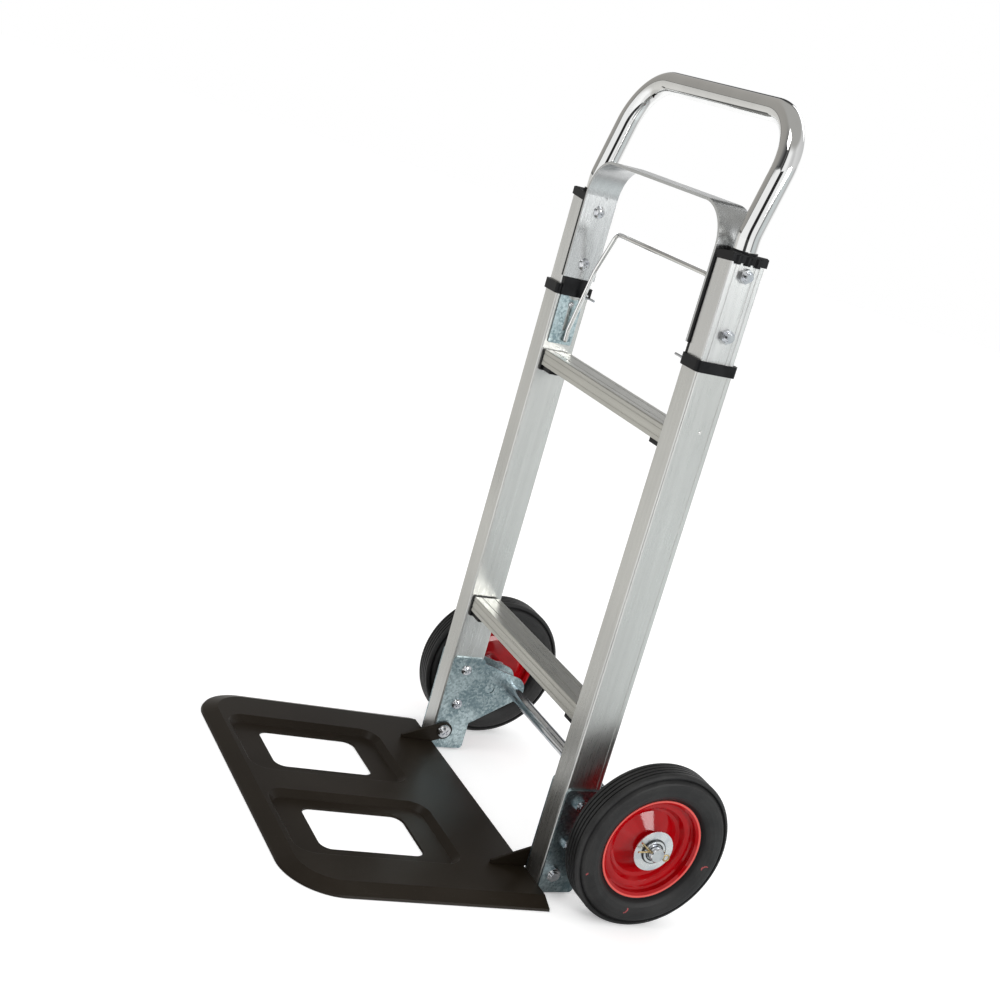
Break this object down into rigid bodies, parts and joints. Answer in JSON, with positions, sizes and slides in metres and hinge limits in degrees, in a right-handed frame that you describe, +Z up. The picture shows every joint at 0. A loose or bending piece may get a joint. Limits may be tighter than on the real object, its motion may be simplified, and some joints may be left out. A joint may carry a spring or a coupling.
{
  "type": "folding hand truck",
  "caption": "Folding hand truck with a telescoping chrome loop handle on box-section rails, a release bail, rubber wheels on red rims and a hinged toe plate.",
  "frame": {"origin": "on the floor, at the centre of the model's footprint", "axes": "+X across to the right wheel as the user behind it faces forward, +Y back from the toe plate towards the wheels, +Z up from the floor; the toe plate lies flat on Z = 0 and the wheels touch it, with the rails leaning forward by 3.75 degrees"},
  "size_m": [0.4756, 0.4639, 0.8448],
  "materials": {
    "tyre_rubber": "matt black rubber",
    "red_paint": "gloss red enamel",
    "nylon": "natural nylon",
    "black_paint": "satin black powder coat",
    "chrome_tube": "bright chrome plate",
    "plated_wire": "bright zinc plate",
    "arch_aluminium": "satin aluminium",
    "crossbar_aluminium": "satin extruded aluminium",
    "lower_rail_aluminium": "satin extruded aluminium",
    "upper_rail_aluminium": "bright extruded aluminium",
    "black_plastic": "moulded black plastic",
    "rivet_aluminium": "plain",
    "zinc_plate": "bright zinc plate"
  },
  "bodies": {
    "frame": {"lower_rail_left": "lower_rail_aluminium", "lower_rail_right": "lower_rail_aluminium", "rail_plug_left": "black_plastic", "rail_plug_right": "black_plastic", "collar_left": "black_plastic", "collar_right": "black_plastic", "crossbar_upper": "crossbar_aluminium", "crossbar_lower": "crossbar_aluminium", "bar_bracket_upper_left": "black_plastic", "bar_bracket_upper_right": "black_plastic", "bar_bracket_lower_left": "black_plastic", "bar_bracket_lower_right": "black_plastic", "bar_bolts": "zinc_plate", "axle_plate_outer_left": "zinc_plate", "axle_plate_outer_right": "zinc_plate", "axle_plate_inner_left": "zinc_plate", "axle_plate_inner_right": "zinc_plate", "axle_plate_bolts": "zinc_plate", "frame_nuts": "zinc_plate", "toe_hinge_bolts": "zinc_plate", "axle": "zinc_plate", "axle_spacer_left": "zinc_plate", "axle_spacer_right": "zinc_plate", "axle_washers": "zinc_plate", "split_pins": "zinc_plate", "latch_screws": "zinc_plate", "bar_rivets": "rivet_aluminium"},
    "upper_frame": {"upper_rail_left": "upper_rail_aluminium", "upper_rail_right": "upper_rail_aluminium", "slide_plug_left": "black_plastic", "slide_plug_right": "black_plastic", "rail_cap_left": "black_plastic", "rail_cap_right": "black_plastic", "arch_strip_left": "black_plastic", "arch_strip_right": "black_plastic", "arch_bar": "arch_aluminium", "handle_tube": "chrome_tube", "handle_bolts": "zinc_plate", "handle_nuts": "zinc_plate"},
    "bail": {"release_bail": "plated_wire", "latch_plate_left": "zinc_plate", "latch_plate_right": "zinc_plate"},
    "lock_pin_left": {"lock_pin_left": "zinc_plate"},
    "lock_pin_right": {"lock_pin_right": "zinc_plate"},
    "wheel_left": {"tyre_left": "tyre_rubber", "rim_outer_left": "red_paint", "rim_inner_left": "red_paint", "wheel_hub_left": "zinc_plate", "wheel_bush_left": "nylon"},
    "wheel_right": {"tyre_right": "tyre_rubber", "rim_outer_right": "red_paint", "rim_inner_right": "red_paint", "wheel_hub_right": "zinc_plate", "wheel_bush_right": "nylon"},
    "toe_plate": {"toe_plate": "black_paint", "toe_ear_left": "black_paint", "toe_ear_right": "black_paint"}
  },
  "joints": [
    {"name": "handle_slide", "type": "slide", "parent": "frame", "child": "upper_frame", "axis": [0, -0.0654, 0.9979], "range_m": [0, 0.25]},
    {"name": "bail_lift", "type": "slide", "parent": "frame", "child": "bail", "axis": [0, -0.0654, 0.9979], "range_m": [0, 0.011], "stiffness_N_per_m": 900, "springref_m": -0.006},
    {"name": "lock_pin_left_slide", "type": "slide", "parent": "frame", "child": "lock_pin_left", "axis": [1, 0, 0], "range_m": [0, 0.0025]},
    {"name": "lock_pin_right_slide", "type": "slide", "parent": "frame", "child": "lock_pin_right", "axis": [-1, 0, 0], "range_m": [0, 0.0025]},
    {"name": "wheel_left_spin", "type": "hinge", "parent": "frame", "child": "wheel_left", "pos_m": [0, 0.142, 0.09], "axis": [1, 0, 0], "continuous": true},
    {"name": "wheel_right_spin", "type": "hinge", "parent": "frame", "child": "wheel_right", "pos_m": [0, 0.142, 0.09], "axis": [1, 0, 0], "continuous": true},
    {"name": "toe_plate_fold", "type": "hinge", "parent": "frame", "child": "toe_plate", "pos_m": [0, 0.06809, 0.02503], "axis": [-1, 0, 0], "range_deg": [0, 86]}
  ],
  "couplings": [
    {"joint": "lock_pin_left_slide", "follows": "bail_lift", "ratio": 0.225},
    {"joint": "lock_pin_right_slide", "follows": "bail_lift", "ratio": 0.225}
  ]
}
